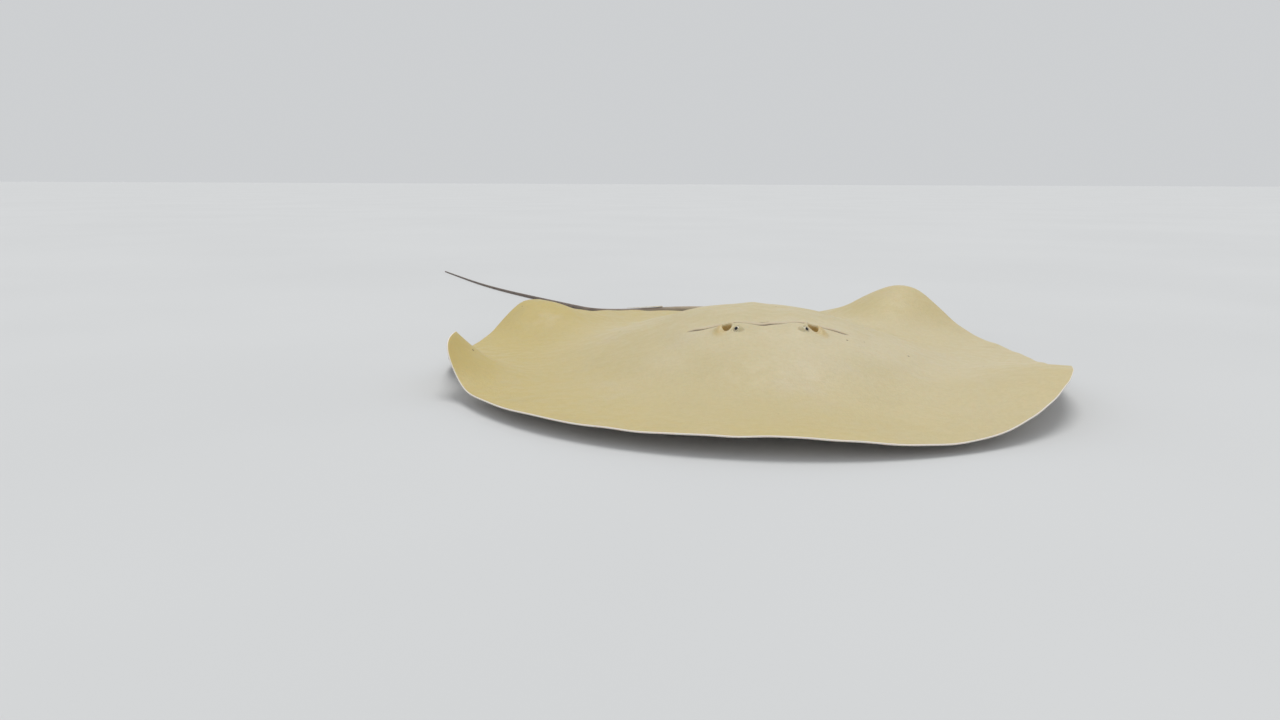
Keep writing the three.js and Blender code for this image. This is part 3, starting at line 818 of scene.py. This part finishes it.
IRIS_PALE = (0.72, 0.66, 0.50)
IRIS_DARK = (0.54, 0.47, 0.31)
IRIS_RING = (0.36, 0.31, 0.20)
PUPIL = (0.006, 0.006, 0.008)
STING_PALE = (0.72, 0.66, 0.50)
STING_DARK = (0.46, 0.38, 0.25)
FLOOR_GREY = (0.62, 0.63, 0.64)
FLOOR_PALE = (0.64, 0.65, 0.66)


def back_colour(g, back, margin, side, grain):
    """Cream in the middle, more yellow on the lobes and towards the margin, mottled, with a white rim."""
    broad = g.noise(9, 4, 0.55)
    clouds = g.noise(28, 5, 0.6)
    colour = g.mix(g.between(broad, 0.36, 0.66), CREAM, PALE)
    outer = g.math("MULTIPLY", g.between(margin, 0.45, 0.95), g.between(broad, 0.3, 0.6, 0.25, 0.6))
    right_hand = g.between(side, -0.03, -0.17, 0.0, 0.55)
    strong = g.between(side, 0.12, -0.02, 0.45, 1.0)
    colour = g.mix(g.math("MULTIPLY", outer, strong), colour, YELLOW)
    colour = g.mix(right_hand, colour, YELLOW)
    colour = g.mix(g.between(side, 0.03, 0.15, 0.0, 0.45), colour, PALE)
    raised = g.between(g.mask("lift"), 0.1, 0.75, 0.0, 0.6)
    colour = g.mix(g.math("MULTIPLY", raised, strong), colour, YELLOW)
    colour = g.mix(g.between(clouds, 0.52, 0.78, 0.0, 0.4), colour, DUSTY)
    colour = g.mix(g.between(clouds, 0.42, 0.24, 0.0, 0.3), colour, OLIVE)
    colour = g.mix(g.between(grain, 0.3, 0.75, 0.0, 0.22), colour, OLIVE)
    specks = g.between(g.cells(62), 0.055, 0.03)
    few = g.between(g.noise(23, 1), 0.56, 0.6)
    colour = g.mix(g.math("MULTIPLY", specks, few), colour, SPECK)
    rim = g.math("MULTIPLY", g.between(back, 1.0, 0.85), g.between(margin, 0.9, 0.97))
    return g.mix(rim, colour, RIM_WHITE)


def head_colour(g, colour):
    """The colour given, with the marks of the head: knobs, painted shade along the fold behind the eyes,
    spiracles with painted shade deep in their pits, and lids.
    """
    colour = g.mix(g.between(g.mask("stain"), 0.1, 0.9, 0.0, 0.8), colour, STAIN)
    colour = g.mix(g.between(g.mask("lip"), 0.0, 1.0, 0.0, 0.55), colour, LIP)
    # The fold is painted dark as the shade that falls in it, more softly at its edges.
    crease = g.mask("crease")
    colour = g.mix(g.between(crease, 0.05, 0.4, 0.0, 0.75), colour, FOLD_EDGE_SHADE)
    colour = g.mix(g.between(crease, 0.3, 0.75, 0.0, 0.95), colour, FOLD_SHADE)
    pit = g.mask("pit")
    colour = g.mix(g.between(pit, 0.0, 0.3), colour, SPIRACLE_BROWN)
    # Painted shade darkens the spiracle's pit towards its deepest part.
    colour = g.mix(g.between(pit, 0.7, 1.0), colour, SPIRACLE_DEEP_SHADE)
    return g.mix(g.between(g.mask("socket"), 0.0, 0.5, 0.0, 0.85), colour, LID)


def fin_stripes(g, x, y, margin):
    """Fine stripes of the fin rays, from -1 to 1, stronger towards the margin."""
    stripes = g.math("SINE", g.math("MULTIPLY", g.math("ARCTAN2", x, y), FIN_RAYS))
    stripes = g.math("MULTIPLY", stripes, g.between(margin, 0.6, 0.95))
    return g.math("MULTIPLY", stripes, g.between(g.noise(30, 3), 0.3, 0.65, 0.35, 1.0))


def belly_colour(g, margin, stripes):
    """Creamy white, pinker in the middle, striped near the margin, with dark red openings."""
    blush = g.between(margin, 0.75, 0.2)
    blotch = g.noise(16, 4, 0.6)
    belly = g.mix(g.math("MULTIPLY", blush, g.between(blotch, 0.3, 0.7, 0.35, 0.9)), BELLY, BELLY_PINK)
    belly = g.mix(g.between(stripes, -0.2, 1, 0.0, 0.45), belly, STRIPE)
    return g.mix(g.between(g.mask("pit"), 0.2, 0.9), belly, OPENING)


def fin_and_tail_colour(g, colour, back):
    """The colour given, with that of the pelvic fins and of the tail, which darkens towards its tip."""
    pelvic = g.mask("pelvic")
    tailward = g.mask("tailward")
    fin = g.mix(g.between(pelvic, 0.6, 1.0), PELVIC_RED, PELVIC_EDGE)
    colour = g.mix(g.between(pelvic, 0.1, 0.3), colour, fin)
    tail_top = g.mix(g.between(g.noise(70, 4, 0.6), 0.3, 0.7), TAIL_GREY, TAIL_DARK)
    tail_top = g.mix(g.between(tailward, 0.35, 1.0), tail_top, TAIL_DARK)
    tail_top = g.mix(g.between(tailward, 0.4, 0.12), tail_top, TAIL_MAUVE)
    tail = g.mix(g.between(back, 0.1, 0.4), TAIL_UNDER, tail_top)
    return g.mix(g.between(tailward, 0.06, 0.3), colour, tail)


def skin_bumps(g, grain, stripes, back):
    """Grain and pores of the skin, with low ribs over the fin rays underneath."""
    surface = g.bumped(grain, 0.00025, 0.5)
    surface = g.bumped(g.cells(900), 0.00018, 0.4, surface)
    surface = g.bumped(g.noise(75, 4, 0.55), 0.0005, 0.35, surface)
    ribs = g.math("MULTIPLY", stripes, g.between(back, 0.5, 0.1))
    return g.bumped(ribs, 0.0003, 0.6, surface)


def skin_material():
    g = Nodes("skin")
    back = g.mask("back")
    margin = g.mask("margin")
    place = g.tree.nodes.new("ShaderNodeSeparateXYZ")
    g.feed(place.inputs[0], g.place())
    x, y = place.outputs["X"], place.outputs["Y"]
    grain = g.noise(420, 4, 0.65)
    stripes = fin_stripes(g, x, y, margin)
    upper = head_colour(g, back_colour(g, back, margin, x, grain))
    colour = g.mix(g.between(back, 0.35, 0.75), belly_colour(g, margin, stripes), upper)
    return g.finish(
        Base_Color=fin_and_tail_colour(g, colour, back),
        Roughness=g.between(g.noise(130, 4), 0.3, 0.7, 0.42, 0.6),
        Normal=skin_bumps(g, grain, stripes, back),
        Subsurface_Weight=0.12,
        Subsurface_Scale=0.004,
        Subsurface_Radius=(1.0, 0.55, 0.3),
    )


# The way the left eye looks.
GAZE = Vector((0.5, -0.64, 0.58)).normalized()


def eye_place(side):
    """Middle of an eyeball in metres, and the way it looks."""
    sign = 1 if side == "left" else -1
    centre = Vector((sign * EYE_X, EYE_Y, back_height(EYE_X, EYE_Y) + EYE_ABOVE)) * MM
    return centre, Vector((sign * GAZE.x, GAZE.y, GAZE.z))


def eye_material(side):
    """Dark pupil in a pale iris with a dusky ring, looking out and up."""
    g = Nodes(f"eye_{side}")
    centre, gaze = eye_place(side)
    along = g.vector_math("DOT_PRODUCT", g.vector_math("SUBTRACT", g.place(), centre), gaze)
    toward = g.math("DIVIDE", along, EYE_RADIUS * MM)
    iris = g.mix(g.between(g.noise(1400, 4, 0.6), 0.35, 0.65), IRIS_PALE, IRIS_DARK)
    colour = g.mix(g.between(toward, 0.86, 0.78), iris, IRIS_RING)
    colour = g.mix(g.between(toward, 0.972, 0.978), colour, PUPIL)
    return g.finish(
        Base_Color=colour,
        Roughness=0.25,
        Coat_Weight=0.15,
        Coat_Roughness=0.08,
        Specular_IOR_Level=0.35,
    )


def sting_material():
    g = Nodes("sting")
    streaks = g.noise(300, 4, 0.6, g.place((1, 0.25, 1)))
    colour = g.mix(g.between(streaks, 0.3, 0.7), STING_PALE, STING_DARK)
    return g.finish(Base_Color=colour, Roughness=0.4, Normal=g.bumped(streaks, 0.0002, 0.5))


def floor_material():
    g = Nodes("floor")
    colour = g.mix(g.between(g.noise(2.5), 0.3, 0.7), FLOOR_GREY, FLOOR_PALE)
    return g.finish(Base_Color=colour, Roughness=0.85)


# ---- eyes and sting ----------------------------------------------------------------------------

CORNEA_BULGE = 0.06
# Section of the sting, as shares of its half width and half height, with a groove on top.
STING_SECTION = (
    (-1, 0), (-0.45, 0.75), (-0.12, 1.0), (0, 0.72), (0.12, 1.0), (0.45, 0.75), (1, 0), (0.4, -1), (-0.4, -1),
)


def add_eye(side):
    centre, gaze = eye_place(side)
    bm = bmesh.new()
    bmesh.ops.create_uvsphere(bm, u_segments=40, v_segments=24, radius=EYE_RADIUS * MM)
    for v in bm.verts:
        toward = v.co.normalized().dot(gaze)
        v.co *= 1 + CORNEA_BULGE * max(0.0, (toward - 0.8) / 0.2)
    bmesh.ops.translate(bm, verts=bm.verts, vec=centre)
    mesh = bpy.data.meshes.new(f"eyeball_{side}")
    bm.to_mesh(mesh)
    bm.free()
    shade_smooth(mesh)
    obj = link(f"eyeball_{side}", mesh, eye_material(side))
    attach(obj, "root")
    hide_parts(f"eye_{side}")


def sting_ring(along):
    """Ring of points round the sting that far from its base, with the barbs as teeth in its width."""
    share = along / STING_LENGTH
    taper = (1 - 0.94 * share ** 1.6) * (0.7 + 0.3 * min(share * 8, 1))
    tooth = (share * (STING_BARBS + 1)) % 1 if 0.06 < share < 0.95 else 0
    width = STING_HALF_WIDTH * taper * (0.72 + 0.28 * tooth)
    rise = STING_HALF_HEIGHT * (1 - 0.75 * share)
    return [(width * px, along, STING_HALF_HEIGHT + rise * pz) for px, pz in STING_SECTION]


def add_sting():
    """A flattened spine with a groove down its middle and backward barbs on both edges."""
    bm = bmesh.new()
    stations = [STING_LENGTH * k / STING_STATIONS for k in range(STING_STATIONS + 1)]
    rings = [[bm.verts.new(point) for point in sting_ring(along)] for along in stations]
    for a, b in zip(rings, rings[1:]):
        for k in range(len(a)):
            nxt = (k + 1) % len(a)
            bm.faces.new((a[k], a[nxt], b[nxt], b[k]))
    bm.faces.new(rings[0][::-1])
    bm.faces.new(rings[-1])
    x, y = tail_middle(STING_AT)
    tail_top = float(tail_radius(STING_AT)) * (1 + math.cos(math.pi / 12)) + STING_CLEARANCE
    heading = float(tail_heading(STING_AT + STING_LENGTH / 2))
    place = Matrix.Translation((float(x), float(y), tail_top)) @ Matrix.Rotation(heading, 4, "Z")
    place = place @ Matrix.Rotation(STING_RISE, 4, "X")
    bmesh.ops.transform(bm, matrix=Matrix.Scale(MM, 4) @ place, verts=bm.verts)
    mesh = bpy.data.meshes.new("sting_spine")
    bm.to_mesh(mesh)
    bm.free()
    obj = link("sting_spine", mesh, sting_material())
    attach(obj, "root")
    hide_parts("sting")


# ---- stage -------------------------------------------------------------------------------------

FOCAL_PX, IMAGE_WIDTH = 884.0, 1280.0
CAMERA_PLACE = (-63.0, -556.5, 116.3)
CAMERA_YAW, CAMERA_PITCH, CAMERA_ROLL = -1.3 * DEG, 11.47 * DEG, 0.22 * DEG

KEY_PLACE, KEY_WIDTH = (0.05, 0.3, 1.3), 32 * DEG
KEY_STRENGTH, KEY_COLOUR = 1.35, (1.0, 0.98, 0.94)
SKY_STRENGTH, SKY_COLOUR = 0.64, (0.96, 0.98, 1.0)
FLOOR_SIZE = 60


def add_camera():
    level = math.cos(CAMERA_PITCH)
    forward = Vector((level * math.sin(CAMERA_YAW), level * math.cos(CAMERA_YAW), -math.sin(CAMERA_PITCH)))
    right = Vector((math.cos(CAMERA_YAW), -math.sin(CAMERA_YAW), 0))
    up = right.cross(forward)
    side = math.cos(CAMERA_ROLL) * right + math.sin(CAMERA_ROLL) * up
    top = math.cos(CAMERA_ROLL) * up - math.sin(CAMERA_ROLL) * right
    turn = Matrix((side, top, -forward)).transposed().to_4x4()
    data = bpy.data.cameras.new("camera")
    data.sensor_width = 36
    data.lens = FOCAL_PX / IMAGE_WIDTH * data.sensor_width
    data.clip_start = 0.01
    camera = bpy.data.objects.new("camera", data)
    camera.matrix_world = Matrix.Translation(Vector(CAMERA_PLACE) * MM) @ turn
    bpy.context.scene.collection.objects.link(camera)
    bpy.context.scene.camera = camera


def add_key():
    """A sun nearly overhead and a little behind the animal, wide enough to blur the shadows' edges."""
    data = bpy.data.lights.new("key", "SUN")
    data.energy = KEY_STRENGTH
    data.angle = KEY_WIDTH
    data.color = KEY_COLOUR
    light = bpy.data.objects.new("key", data)
    light.rotation_euler = (-Vector(KEY_PLACE)).to_track_quat("-Z", "Y").to_euler()
    bpy.context.scene.collection.objects.link(light)


def add_stage():
    bpy.ops.mesh.primitive_plane_add(size=FLOOR_SIZE)
    floor = bpy.context.object
    floor.name = "floor"
    floor.data.materials.append(floor_material())
    world = bpy.data.worlds.new("studio")
    world.use_nodes = True
    background = world.node_tree.nodes["Background"]
    background.inputs["Color"].default_value = (*SKY_COLOUR, 1)
    background.inputs["Strength"].default_value = SKY_STRENGTH
    bpy.context.scene.world = world
    bpy.context.scene.view_settings.view_transform = "Standard"
    add_key()


# ---- the animal --------------------------------------------------------------------------------

# The skin replaces the solids whose names start like this.
FLESH = ("head", "trunk", "pectoral", "pelvic", "tail")

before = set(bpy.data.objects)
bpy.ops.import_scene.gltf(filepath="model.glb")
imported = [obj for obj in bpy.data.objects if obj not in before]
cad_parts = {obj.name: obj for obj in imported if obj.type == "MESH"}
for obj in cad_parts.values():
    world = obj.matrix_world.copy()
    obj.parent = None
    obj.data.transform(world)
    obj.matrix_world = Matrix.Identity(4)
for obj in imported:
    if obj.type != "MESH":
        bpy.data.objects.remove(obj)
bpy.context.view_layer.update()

flesh = [name for name in sorted(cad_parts) if name.startswith(FLESH)]
skin = make_object("skin", [disc_part(), tail_part(), pelvic_part(1), pelvic_part(-1)], skin_material())
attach(skin, "root")
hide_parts(*flesh)
for eye_side in ("left", "right"):
    add_eye(eye_side)
add_sting()

add_camera()
add_stage()
